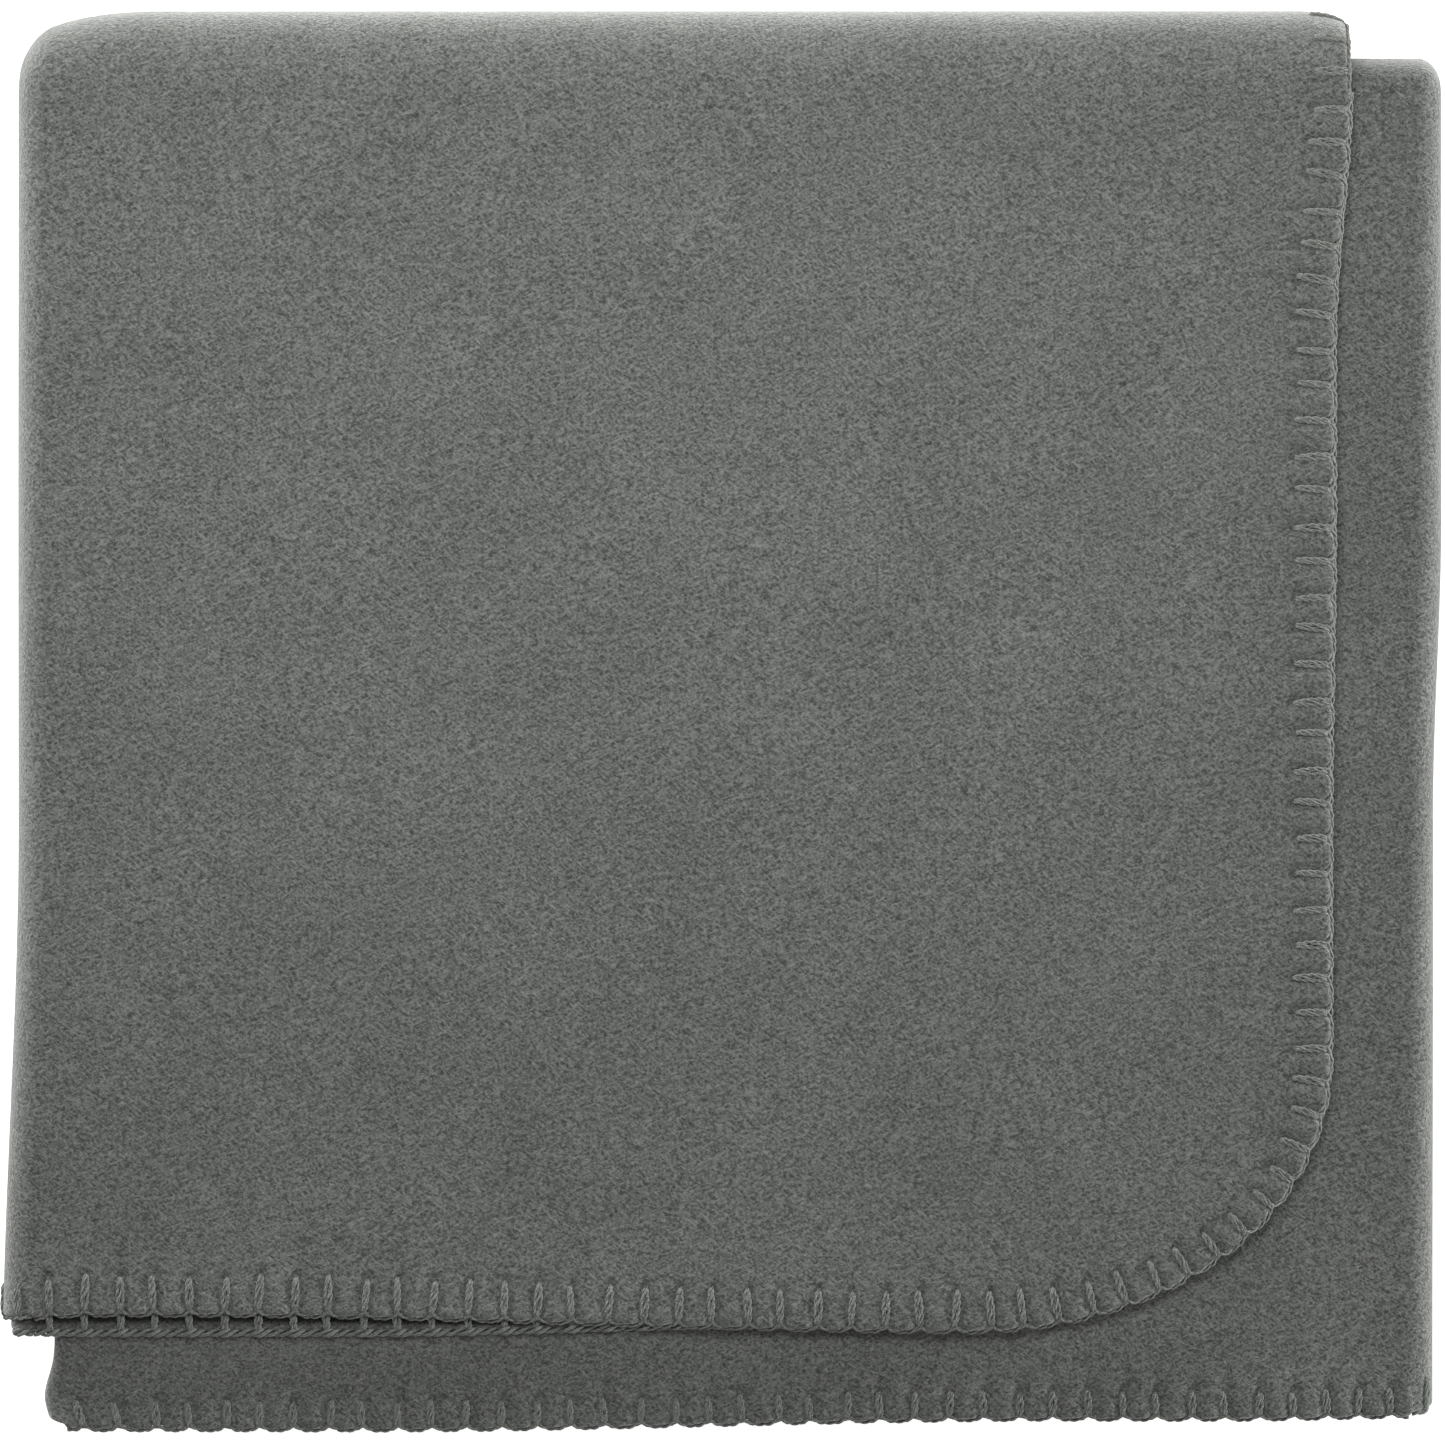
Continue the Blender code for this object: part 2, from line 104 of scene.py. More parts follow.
def brushed_fleece():
    """Polyester fibres in a felted nap: matt, with no highlight of its own, and a pale sheen where
    the nap is seen edge on. Its fibres are far finer than 0.6 mm, and are drawn that coarse so that
    they show. The clumps are 0.85 mm across, and the slow patches of wear 38 mm."""
    material = bpy.data.materials.new("brushed_polyester_fleece")
    material.use_nodes = True
    tree = material.node_tree
    shader = tree.nodes["Principled BSDF"]
    place = add_node(tree, "ShaderNodeTexCoord").outputs["Object"]
    clumps = add_node(
        tree,
        "ShaderNodeTexNoise",
        values={"Scale": millimetres(0.85), "Detail": 3.0, "Roughness": 0.75},
        links={"Vector": place},
    ).outputs["Fac"]
    fibre_lies = []
    for lie, length in ((24, 4.0), (-38, 3.2)):
        along = add_node(
            tree,
            "ShaderNodeMapping",
            settings={"vector_type": "TEXTURE"},
            values={"Rotation": (0, 0, math.radians(lie)), "Scale": (length, 1.0, 1.0)},
            links={"Vector": place},
        ).outputs["Vector"]
        fibre_lies.append(
            add_node(
                tree,
                "ShaderNodeTexNoise",
                values={"Scale": millimetres(0.6), "Detail": 2.0, "Distortion": 0.8},
                links={"Vector": along},
            ).outputs["Fac"]
        )
    fibres = add_node(
        tree,
        "ShaderNodeMath",
        settings={"operation": "MAXIMUM"},
        links={0: fibre_lies[0], 1: fibre_lies[1]},
    ).outputs["Value"]
    patches = add_node(
        tree,
        "ShaderNodeTexNoise",
        values={"Scale": millimetres(38), "Detail": 2.0},
        links={"Vector": place},
    ).outputs["Fac"]
    nap = add_node(
        tree,
        "ShaderNodeMix",
        settings={"data_type": "FLOAT"},
        values={0: 0.5},
        links={2: clumps, 3: fibres},
    ).outputs[0]
    shade = add_node(
        tree,
        "ShaderNodeMapRange",
        values={"From Min": 0.43, "From Max": 0.65},
        links={"Value": nap},
    ).outputs["Result"]
    tone = add_node(
        tree,
        "ShaderNodeMix",
        settings={"data_type": "RGBA"},
        values={6: linear("#3c3e3b"), 7: linear("#7f817e")},
        links={0: shade},
    ).outputs[2]
    worn = add_node(
        tree,
        "ShaderNodeMapRange",
        values={"From Min": 0.35, "From Max": 0.65, "To Min": 0.95, "To Max": 1.05},
        links={"Value": patches},
    ).outputs["Result"]
    # Painted shade: a mesh attribute darkens the colour, for the shadow under the flap's edge.
    painted_shade_share = add_node(
        tree, "ShaderNodeAttribute", settings={"attribute_name": "matted"}
    ).outputs["Fac"]
    painted_shade_factor = add_node(
        tree,
        "ShaderNodeMapRange",
        values={"To Min": 1.0, "To Max": 0.35},
        links={"Value": painted_shade_share},
    ).outputs["Result"]
    # The random patches of wear, times the painted shade.
    wear_and_painted_shade = add_node(
        tree,
        "ShaderNodeMath",
        settings={"operation": "MULTIPLY"},
        links={0: worn, 1: painted_shade_factor},
    ).outputs["Value"]
    colour = add_node(
        tree,
        "ShaderNodeVectorMath",
        settings={"operation": "SCALE"},
        links={0: tone, "Scale": wear_and_painted_shade},
    ).outputs["Vector"]
    bump = add_node(
        tree,
        "ShaderNodeBump",
        values={"Strength": 1.0, "Distance": 0.0008},
        links={"Height": nap},
    ).outputs["Normal"]
    tree.links.new(colour, shader.inputs["Base Color"])
    tree.links.new(bump, shader.inputs["Normal"])
    shader.inputs["Roughness"].default_value = 0.95
    shader.inputs["Specular IOR Level"].default_value = 0.15
    shader.inputs["Sheen Weight"].default_value = 0.8
    shader.inputs["Sheen Roughness"].default_value = 0.4
    shader.inputs["Sheen Tint"].default_value = linear("#f2f4f0")
    return material


fleece = brushed_fleece()


# --- The roll ----------------------------------------------------------------------------------
# The throw is doubled along its length, then rolled across into four layers of two plies:
# tucked end, middle flap, base and top flap. The loft of the nap holds the layers apart.
# Beyond the tucked end they stay level, because the fleece is springy.

CLOTH = 0.0020  # thickness of the fleece
PLY = 0.0023  # the same with the room that its nap keeps
LAYER = 2 * PLY
FACE_N = 1.5 * PLY  # from a layer's inner side to the middle of its face ply
INNER_N = 0.5 * PLY  # and to the middle of its inner ply
TUCK_INSET = 0.0098  # the middle flap's left fold lies this far in from the top flap's
SEAM_STEP = 0.0005  # the halves end this far short of the hinge, where the top fold's cloth begins

hinge_y, meeting_z = frame["joints"][0]["pos_m"][1:]
ply_low, ply_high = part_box("upper_half_face_ply")
yarn_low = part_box("upper_half_face_yarn")[0]
left_fold_x = ply_low[0] + LAYER + FACE_N + CLOTH / 2
right_fold_x = ply_high[0] - LAYER / 2 - FACE_N - CLOTH / 2
tuck_fold_x = left_fold_x + TUCK_INSET
tucked_end_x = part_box("top_fold_face_tucked_yarn")[0][0]
flap_end_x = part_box("top_fold_face_flap_yarn")[0][0]
SEAM_Y = hinge_y - SEAM_STEP


def ease(t):
    t = np.clip(t, 0, 1)
    return t * t * (3 - 2 * t)


class Roll:
    """A stretch of the roll: for each column, the point where n is 0, the way that n grows, the
    panel's own x, how much it follows the top flap's edge, and how far it stands out at the top
    fold."""

    FIELDS = ("x", "h", "normal_x", "normal_h", "station", "askew", "rise")

    def __init__(self, x, h, normal_x, normal_h, station, askew, rise):
        self.x, self.h, self.normal_x, self.normal_h = x, h, normal_x, normal_h
        self.station, self.askew, self.rise = station, askew, rise

    def at(self, n):
        return self.x + n * self.normal_x, self.h + n * self.normal_h

    def __add__(self, other):
        pairs = ((getattr(self, field), getattr(other, field)) for field in self.FIELDS)
        return Roll(*(np.concatenate(pair) for pair in pairs))

    def part(self, chosen):
        return Roll(*(getattr(self, field)[chosen] for field in self.FIELDS))


def panel(x, h, facing, askew=0.0, rise=0.0):
    ones = np.ones_like(x)
    return Roll(x, h * ones, 0 * ones, facing * ones, x, askew * ones, rise * ones)


def fold(x, h, inner_radius, turn, steps, askew=0.0, rise=(0.0, 0.0)):
    """Half a turn about a line along Y, from one share of pi to another. Its ends belong to the
    panels beside it."""
    share = np.linspace(0, 1, steps + 2)[1:-1]
    angle = (turn[0] + (turn[1] - turn[0]) * share) * math.pi
    cos, sin = np.cos(angle), np.sin(angle)
    ones = np.ones_like(share)
    return Roll(
        x + inner_radius * cos,
        h + inner_radius * sin,
        cos,
        sin,
        x + (inner_radius + FACE_N) * cos,
        askew * ones,
        rise[0] + (rise[1] - rise[0]) * share,
    )


# Close to a free end the columns crowd together, so that the cut edge is round.
RIM = np.array([0.0, 0.00012, 0.0004, 0.0009, 0.0015, 0.0022, 0.0032])
FINE = 0.0011  # between columns where stitches dent the cloth
COARSE = 0.005  # and where nothing shows
FLAP_RISE = 0.0041  # the top flap stands out this much at the top fold, over the other layers
FLAP_FOLD_STEPS = 26


def between(start, end, step):
    count = max(2, round(abs(end - start) / step))
    return np.linspace(start, end, count + 1)


def with_rim(x, end):
    """Points along a panel, with the rim's points at the end that is free."""
    inward = -1 if end > x[0] else 1
    clear = RIM[-1] + 0.0004
    kept = x[np.abs(x - end) > clear]
    return np.concatenate([kept, (end + inward * RIM)[::-1]])


def settled(x):
    """How far the middle flap has sunk towards the base at the top fold, past the tucked end."""
    slope_length = 0.08
    return -LAYER * ease((x - tucked_end_x) / slope_length)


tucked_x = with_rim(between(tuck_fold_x, tucked_end_x, COARSE), tucked_end_x)[::-1]
middle_x = between(tuck_fold_x, right_fold_x, FINE)
base_x = between(right_fold_x, left_fold_x, COARSE)
flap_x = with_rim(between(left_fold_x, flap_end_x, FINE), flap_end_x)
base_askew = (right_fold_x - base_x) / (right_fold_x - left_fold_x)

tucked_roll = panel(tucked_x, 2 * LAYER, -1) + fold(
    tuck_fold_x, 2 * LAYER, inner_radius=0.0, turn=(1.5, 0.5), steps=14
)
middle_roll = panel(middle_x, 2 * LAYER, 1, rise=settled(middle_x)) + fold(
    right_fold_x,
    1.5 * LAYER,
    inner_radius=LAYER / 2,
    turn=(0.5, -0.5),
    steps=20,
    rise=(-LAYER, 0.0),
)
base_roll = panel(base_x, LAYER, -1, askew=base_askew)
flap_roll = fold(
    left_fold_x,
    2 * LAYER,
    inner_radius=LAYER,
    turn=(1.5, 0.5),
    steps=FLAP_FOLD_STEPS,
    askew=1.0,
    rise=(0.0, FLAP_RISE),
) + panel(flap_x, 3 * LAYER, 1, askew=1.0, rise=FLAP_RISE)
whole_roll = tucked_roll + middle_roll + base_roll + flap_roll
LAYERS = {"tucked": tucked_roll, "middle": middle_roll, "base": base_roll, "flap": flap_roll}


# --- The upper half ----------------------------------------------------------------------------
# Two plies with their cut edges together, lying on the lower half. The top flap and the middle
# flap show. The cut edges were trimmed by hand, so they wander by a few millimetres, and the
# whipping draws the cloth in at each stitch and leaves it puffed between.

PITCH = 0.0097  # from stitch to stitch
BITE = 0.0100  # from the cut edge to the needle holes
CORD_ROOM = 0.0022  # for the cord, outside the cut edge
CLOSE_ROWS = 0.0260  # the rows stay close together this far in from the cut edge
EDGE_STEP = 0.0008  # between the points that a cut edge is worked out from


def middle_edge(x):
    """y of the middle flap's cut edge: it climbs a little to the right, and at both of its folds
    the corner is drawn up."""
    climb = 0.0034 * ease((x + 0.10) / 0.20) + 0.0008 * ease((x - 0.14) / 0.06)
    left = np.clip((tuck_fold_x + 0.003 - x) / 0.0078, 0, 1)
    right = np.clip((x - right_fold_x) / 0.0068, 0, 1)
    corners = 0.0035 * (2 - np.sqrt(1 - left * left) - np.sqrt(1 - right * right))
    return yarn_low[1] + 0.0003 + climb + corners + CORD_ROOM


def flap_face_edge(x):
    """y of the top flap's cut edge on its face ply: it falls towards the middle of the packet."""
    fall = 0.0046 * ease((x + 0.15) / 0.22) + 0.0018 * np.exp(-(((x + 0.2) / 0.012) ** 2))
    return yarn_low[1] + 0.0330 - fall + CORD_ROOM


def flap_inner_edge(x):
    """y of the same edge on its inner ply, which shows below the face ply at the left."""
    return yarn_low[1] + 0.0273 + 0.0024 * ease((x + 0.10) / 0.12) + CORD_ROOM


def edge_of(roll, inner):
    """y of the cut edge in each column. The base runs askew from one flap's edge to the other's."""
    flap = flap_inner_edge(roll.station) if inner else flap_face_edge(roll.station)
    return middle_edge(roll.station) * (1 - roll.askew) + flap * roll.askew


def rows_above(edge_y, top_y, steps):
    """y in every row of every column, crowded near the cut edge."""
    near = np.concatenate([RIM, np.arange(RIM[-1] + FINE, CLOSE_ROWS, FINE)])
    share = np.linspace(0, 1, steps + 1)[1:]
    height = top_y - edge_y[:, None]
    upper = near[-1] + (height - near[-1]) * share[None, :]
    return edge_y[:, None] + np.concatenate([np.repeat(near[None, :], len(edge_y), 0), upper], 1)


def round_corner(x, y, end_x, edge_y, reach_x, reach_y):
    """Carry the square corner at the free end on to a quarter of an ellipse."""
    side = np.sign(end_x)
    u = np.clip(1 - side * (end_x - x) / reach_x, 0, 1)
    v = np.clip(1 - (y - edge_y) / reach_y, 0, 1)
    round_u, round_v = u * np.sqrt(1 - v * v / 2), v * np.sqrt(1 - u * u / 2)
    inside = (u > 0) & (v > 0)
    new_x = end_x - side * reach_x * (1 - round_u)
    new_y = edge_y + reach_y * (1 - round_v)
    return np.where(inside, new_x, x), np.where(inside, new_y, y)


def flap_skew(x, y):
    """The flap's free edge leans: it lies further right near the top fold."""
    lean = -0.0069 + 0.0047 * ease((y - 0.105) / 0.075)
    return lean * np.clip((x - 0.03) / 0.145, 0, 1) ** 2


def quarter_round(share):
    """How far a quarter circle has left its tangent, from 0 to 1."""
    return 1 - np.sqrt(np.clip(1 - share * share, 0, 1))


def relax(points):
    """How the whole packet has settled. Each line below is one thing that the cloth does: a size in
    metres, or a share of the height, that comes in over a stretch of the packet."""
    x, y, z = points[..., 0], points[..., 1], points[..., 2]

    # The left side leans in towards the top fold, and bulges out beside the open edges. The right
    # side is narrower towards the open edges.
    lean = np.clip(-x / 0.2, 0, 1.1) ** 2 * (0.0048 * ease((y + 0.19) / 0.16) - 0.0006)
    bulge = 0.0030 * np.exp(-(((y + 0.188) / 0.008) ** 2)) * ease((-0.150 - x) / 0.03)
    taper = 0.0022 * ease((0.055 - y) / 0.08) * ease((x - 0.150) / 0.045)

    # Three corners at the top fold are rounded: the left one, the flap's end and the right fold.
    left_corner = 0.0125 * quarter_round(np.clip((-0.160 - x) / 0.0400, 0, 1))
    flap_corner = 0.0070 * quarter_round(np.clip((x - 0.161) / 0.0155, 0, 1)) * (x < 0.185)
    right_corner = 0.0055 * quarter_round(np.clip((x - 0.193) / 0.0078, 0, 1))
    drawn_in = (
        left_corner * np.clip((y - 0.150) / 0.049, 0, 1) ** 2
        + flap_corner * np.clip((y - 0.1856) / 0.0130, 0, 1)
        + right_corner * np.clip((y - 0.168) / 0.0175, 0, 1)
    )

    # The packet is lower towards the open edges, droops at the left of them, and is never quite
    # flat: its waves are 80 to 190 mm long, and up to a fortieth of its height.
    fall = 0.10 * ease((-0.02 - y) / 0.18)
    droop = 0.28 * ease((-0.1645 - y) / 0.028) * ease((0.18 - x) / 0.32)
    waves = (
        0.010 * np.sin(31 * x + 12 * y + 0.6)
        + 0.010 * np.sin(-17 * x + 36 * y + 2.1)
        + 0.006 * np.sin(63 * x - 41 * y + 4.0)
    )
    z = z * (1 + waves - fall) * (1 - droop)
    return np.stack([x + lean - bulge - taper, y - drawn_in, z], -1)


def sheet_mesh(name, shells, material):
    """A closed sheet, or several, each between an outer and an inner grid of points."""
    builder = bmesh.new()
    for outer, inner in shells:
        sides = []
        for grid in (outer, inner):
            flat = relax(grid)
            sides.append([[builder.verts.new(p) for p in column] for column in flat])
        columns, rows = outer.shape[:2]
        for side in sides:
            for i in range(columns - 1):
                for j in range(rows - 1):
                    quad = (side[i][j], side[i][j + 1], side[i + 1][j + 1], side[i + 1][j])
                    builder.faces.new(quad)
        front, back = sides
        for j in (0, rows - 1):
            for i in range(columns - 1):
                builder.faces.new((front[i][j], front[i + 1][j], back[i + 1][j], back[i][j]))
        for i in (0, columns - 1):
            for j in range(rows - 1):
                builder.faces.new((front[i][j], front[i][j + 1], back[i][j + 1], back[i][j]))
    bmesh.ops.recalc_face_normals(builder, faces=builder.faces)
    mesh = bpy.data.meshes.new(name)
    builder.to_mesh(mesh)
    builder.free()
    mesh.shade_smooth()
    mesh.set_sharp_from_angle(angle=math.radians(60))
    mesh.materials.append(material)
    piece = bpy.data.objects.new(name, mesh)
    bpy.context.collection.objects.link(piece)
    return piece


class Edge:
    """A cut edge: closely spaced points in the cloth's middle, with the way out past the edge, the
    way that the face looks, the length along it, and how deep its stitches are."""

    SPACING = 0.0004

    def __init__(self, points, out, facing):
        self.points, self.out, self.facing, self.bite = points, out, facing, BITE
        steps = np.linalg.norm(np.diff(points, axis=0), axis=1)
        self.length = np.concatenate([[0], np.cumsum(steps)])

    def resampled(self):
        places = np.arange(0, self.length[-1], self.SPACING)
        points, out, facing = (
            np.stack([np.interp(places, self.length, values[:, axis]) for axis in range(3)], 1)
            for values in (self.points, self.out, self.facing)
        )
        out /= np.linalg.norm(out, axis=1, keepdims=True)
        facing /= np.linalg.norm(facing, axis=1, keepdims=True)
        return Edge(points, out, facing)


def stitch_middles(edge):
    """Lengths along the edge of its stitches. A hand needle is never quite even."""
    hand = random.Random(7)
    uneven = 0.0005
    count = max(1, round(edge.length[-1] / PITCH))
    pitch = edge.length[-1] / count
    return np.array([(k + 0.5) * pitch + hand.uniform(-uneven, uneven) for k in range(count)])


def bite_at(edge, index):
    """How deep a stitch is at a point of the edge: shorter where it goes round the corner."""
    shorter_by = 0.34
    out = edge.out[index]
    diagonal = np.clip((np.minimum(abs(out[0]), abs(out[1])) - 0.10) / 0.6, 0, 1)
    return edge.bite * (1 - shorter_by * diagonal)


def puffed(grid, edge, side):
    """Draw the cloth in at each stitch of the edge, and puff it out between them. Its inner face
    (side -1) is only scalloped, because the ply under it holds it flat. The grid is changed."""
    reach = 0.015  # how far in from the edge the stitches can be felt
    puff, pull = 0.0009, 0.0006  # out between stitches, and in under them
    tree = kdtree.KDTree(len(edge.points))
    for index, point in enumerate(edge.points):
        tree.insert(point, index)
    tree.balance()
    low, high = edge.points.min(0) - reach, edge.points.max(0) + reach
    flat = grid.reshape(-1, 3)
    near = np.where(((flat > low) & (flat < high)).all(1))[0]
    middles = stitch_middles(edge)
    for index in near:
        _, found, away = tree.find(flat[index])
        if away > reach:
            continue
        depth = -float(np.dot(flat[index] - edge.points[found], edge.out[found]))
        gap = float(np.abs(middles - edge.length[found]).min())
        bite = bite_at(edge, found)
        drawn = math.exp(-((gap / 0.0017) ** 2))  # under the stitch
        held = float(ease(1 - (depth - bite * 0.9) / 0.003))  # no further in than the needle hole
        swell = math.exp(-((depth / 0.009) ** 2))
        at_edge = math.exp(-((depth / 0.0030) ** 2))
        hole = math.exp(-(((depth - bite) / 0.0011) ** 2) - (gap / 0.0010) ** 2)
        lift = puff * swell * (1 - drawn) - pull * drawn * held - pull * hole
        spread = (puff * (1 - drawn) - pull * drawn) * at_edge
        flat[index] += np.array([0, 0, lift * (side > 0)]) + edge.out[found] * spread
    return flat.reshape(grid.shape)


# How far the rounded corners of the cloth reach along the packet's edge and up its end.
FLAP_CORNER = (0.107, 0.075)
TUCKED_CORNER = (0.088, 0.088)
CUT_ROUND = 0.0012  # the cloth rounds off over this much at a cut edge
at_flap_end = (np.arange(len(whole_roll.x)) >= len(whole_roll.x) - len(flap_x))[:, None]
at_tucked_end = (np.arange(len(whole_roll.x)) < len(tucked_x))[:, None]


def free_ends(x, y, edge_y):
    """The two free ends of a ply, with their corners rounded and the flap's end leaning."""
    edges = np.repeat(edge_y[:, None], y.shape[1], 1)
    flap_corner_x, flap_corner_y = round_corner(x, y, flap_end_x, edges, *FLAP_CORNER)
    tuck_corner_x, tuck_corner_y = round_corner(x, y, tucked_end_x, edges, *TUCKED_CORNER)
    x = np.where(at_flap_end, flap_corner_x, np.where(at_tucked_end, tuck_corner_x, x))
    y = np.where(at_flap_end, flap_corner_y, np.where(at_tucked_end, tuck_corner_y, y))
    return np.where(at_flap_end, x + flap_skew(x, y), x), y


def half_thickness(depth):
    """Half the cloth's thickness this far in from a cut edge, where it rounds off to almost
    nothing."""
    share = np.clip(depth / CUT_ROUND, 0, 1)
    return CLOTH / 2 * np.maximum(np.sqrt(1 - (1 - share) ** 2), 0.04)


def upper_grid(middle_n, inner, side, steps):
    """The outer (side 1) or inner (side -1) face of one ply of the upper half."""
    edge_y = edge_of(whole_roll, inner)
    y = rows_above(edge_y, SEAM_Y, steps)
    from_end = np.full(len(whole_roll.x), 1.0)
    from_end[-len(flap_x) :] = flap_end_x - flap_x
    from_end[: len(tucked_x)] = tucked_end_x - tucked_x
    depth = np.minimum(y - edge_y[:, None], np.abs(from_end)[:, None])
    n = middle_n + side * half_thickness(depth)
    x = whole_roll.x[:, None] + n * whole_roll.normal_x[:, None]
    h = whole_roll.h[:, None] + n * whole_roll.normal_h[:, None]
    x, y = free_ends(x, y, edge_y)
    return np.stack([x, y, meeting_z + h], -1)


def flap_cut_edge(middle_n, inner):
    """The top flap's lower edge, its corner and its free edge, up to the seam."""
    edge = flap_inner_edge if inner else flap_face_edge
    corner_y = float(edge(np.array([flap_end_x]))[0])
    low_x = between(left_fold_x, flap_end_x, EDGE_STEP)
    up_y = between(corner_y, SEAM_Y, EDGE_STEP)
    x = np.concatenate([low_x, np.full(len(up_y), flap_end_x)])
    y = np.concatenate([edge(low_x), up_y])
    edge_y = np.concatenate([edge(low_x), np.full(len(up_y), corner_y)])
    x, y = round_corner(x, y, flap_end_x, edge_y, *FLAP_CORNER)
    x = x + flap_skew(x, y)
    points = np.stack([x, y, np.full_like(x, meeting_z + 3 * LAYER + middle_n)], 1)
    return outward(points, (0, 0, 1))


def outward(points, face):
    """An Edge along these points: out is to the right of the way it runs, seen from its face."""
    along = np.gradient(points, axis=0)
    out = np.cross(along, np.array(face))
    out /= np.maximum(np.linalg.norm(out, axis=1, keepdims=True), 1e-9)
    return Edge(points, out, np.repeat([face], len(points), 0).astype(float)).resampled()


def middle_cut_edge(middle_n):
    x = between(tuck_fold_x, right_fold_x, EDGE_STEP)
    z = np.full_like(x, meeting_z + 2 * LAYER + middle_n)
    return outward(np.stack([x, middle_edge(x), z], 1), (0, 0, 1))


flap_face_cut = flap_cut_edge(FACE_N, False)
flap_inner_cut = flap_cut_edge(INNER_N, True)
middle_cut = middle_cut_edge(FACE_N)
middle_cut.bite = 0.0066  # its stitches are shallower

# The flap's free edge is a strip of its own with closer rows, because its stitches run up it.
STRIP_WIDTH = 0.020
MAIN_ROWS, STRIP_ROWS = 75, 240
strip_start = int(np.searchsorted(flap_x, flap_end_x - STRIP_WIDTH)) - len(flap_x)
middle_start = len(tucked_roll.x)
middle_columns = slice(middle_start, middle_start + len(middle_x))
flap_columns = slice(len(whole_roll.x) - len(flap_x), len(whole_roll.x) + strip_start + 1)
main_faces, strip_faces = [], []
for side in (1, -1):
    grid = upper_grid(FACE_N, False, side, MAIN_ROWS)
    grid[flap_columns] = puffed(grid[flap_columns].copy(), flap_face_cut, side)
    grid[middle_columns] = puffed(grid[middle_columns].copy(), middle_cut, side)
    main_faces.append(grid[: strip_start + 1])
    strip = upper_grid(FACE_N, False, side, STRIP_ROWS)[strip_start:].copy()
    strip_faces.append(puffed(strip, flap_face_cut, side))
upper_face = sheet_mesh("upper_half_face_fleece", [main_faces, strip_faces], fleece)

# Between the two cut edges of the flap the inner ply is pressed into a trough. Along it the colour
# is darkened with painted shade, for the shadow under the face ply's edge.
TROUGH_DEPTH, TROUGH_IN, TROUGH_WIDTH = 0.0016, 0.0034, 0.0022
PAINTED_SHADE_IN, PAINTED_SHADE_WIDTH = 0.0036, 0.0024
inner_faces = [upper_grid(INNER_N, True, side, MAIN_ROWS) for side in (1, -1)]
from_cut = inner_faces[0][flap_columns, :, 1] - edge_of(whole_roll, True)[flap_columns, None]
trough = TROUGH_DEPTH * np.exp(-(((from_cut - TROUGH_IN) / TROUGH_WIDTH) ** 2))
inner_faces[0][flap_columns, :, 2] -= trough
upper_inner = sheet_mesh("upper_half_inner_fleece", [inner_faces], fleece)
inner_points = np.array([vertex.co for vertex in upper_inner.data.vertices])
from_cut = inner_points[:, 1] - flap_inner_edge(inner_points[:, 0])
on_flap = inner_points[:, 2] > meeting_z + 2.1 * LAYER
# Painted shade: 1 along the trough on the flap, where the colour is darkened for the shadow.
share = on_flap * np.exp(-(((from_cut - PAINTED_SHADE_IN) / PAINTED_SHADE_WIDTH) ** 2))
matted = upper_inner.data.attributes.new("matted", "FLOAT", "POINT")
matted.data.foreach_set("value", share.astype(np.float32))

for piece, node in ((upper_face, "upper_half_face_ply"), (upper_inner, "upper_half_inner_ply")):
    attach(piece, "upper_half")
    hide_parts(node)


# --- The lower half ----------------------------------------------------------------------------
# The same two plies carried on under the upper half, where they are one stretch of cloth, doubled
# at a crease a little inside the edges above it. The packet lies on its flap.

CREASE_STEP = 0.0160  # from the edges above to the crease
LOWER_ROWS = 59  # up each of the two plies


def lower_grid(side):
    """One face of the doubled cloth: down the face ply, round the crease, up the inner ply."""
    crease_y = edge_of(whole_roll, True)[:, None] + CREASE_STEP
    share = np.linspace(0, 1, 9)
    down, out = -np.sin(math.pi * share), np.cos(math.pi * share)
    level, ones = np.zeros(LOWER_ROWS), np.ones(LOWER_ROWS)
    run = SEAM_Y + (crease_y - SEAM_Y) * np.linspace(0, 1, LOWER_ROWS + 1)[:-1]
    y = np.concatenate([run, crease_y + INNER_N * down, run[:, ::-1]], 1)
    n = np.concatenate([FACE_N * ones, PLY + INNER_N * out, INNER_N * ones])
    face_y, face_n = np.concatenate([level, down, level]), np.concatenate([ones, out, -ones])
    n = n + side * CLOTH / 2 * face_n
    y = y + side * CLOTH / 2 * face_y
    x = whole_roll.x[:, None] + n * whole_roll.normal_x[:, None]
    h = whole_roll.h[:, None] + n * whole_roll.normal_h[:, None]
    x = np.where(at_flap_end, x + flap_skew(x, y), x)
    return np.stack([x, y, meeting_z - h], -1)


lower_cloth = sheet_mesh("lower_half_fleece", [(lower_grid(1), lower_grid(-1))], fleece)
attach(lower_cloth, "lower_half")
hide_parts("lower_half_cloth")


# --- The top fold ------------------------------------------------------------------------------
# All eight plies turning from the upper half down to the lower one. They are made layer by layer,
# each over its own radius.


FOLD_ROWS = 27


def fold_grid(roll, n):
    """A face of a ply round the top fold, with a short level run at both ends."""
    x, h = roll.at(n)
    h = h[:, None]
    angle = math.pi * np.linspace(0, 1, FOLD_ROWS)
    level = np.full_like(h, SEAM_Y)
    y = np.concatenate([level, hinge_y + (h + roll.rise[:, None]) * np.sin(angle), level], 1)
    z = np.concatenate([h, h * np.cos(angle), -h], 1)
    x = np.repeat(x[:, None], y.shape[1], 1)
    if roll is flap_roll:
        on_panel = (np.arange(len(roll.x)) >= len(roll.x) - len(flap_x))[:, None]
        x = np.where(on_panel, x + flap_skew(x, y), x)
    return np.stack([x, y, meeting_z + z], -1)


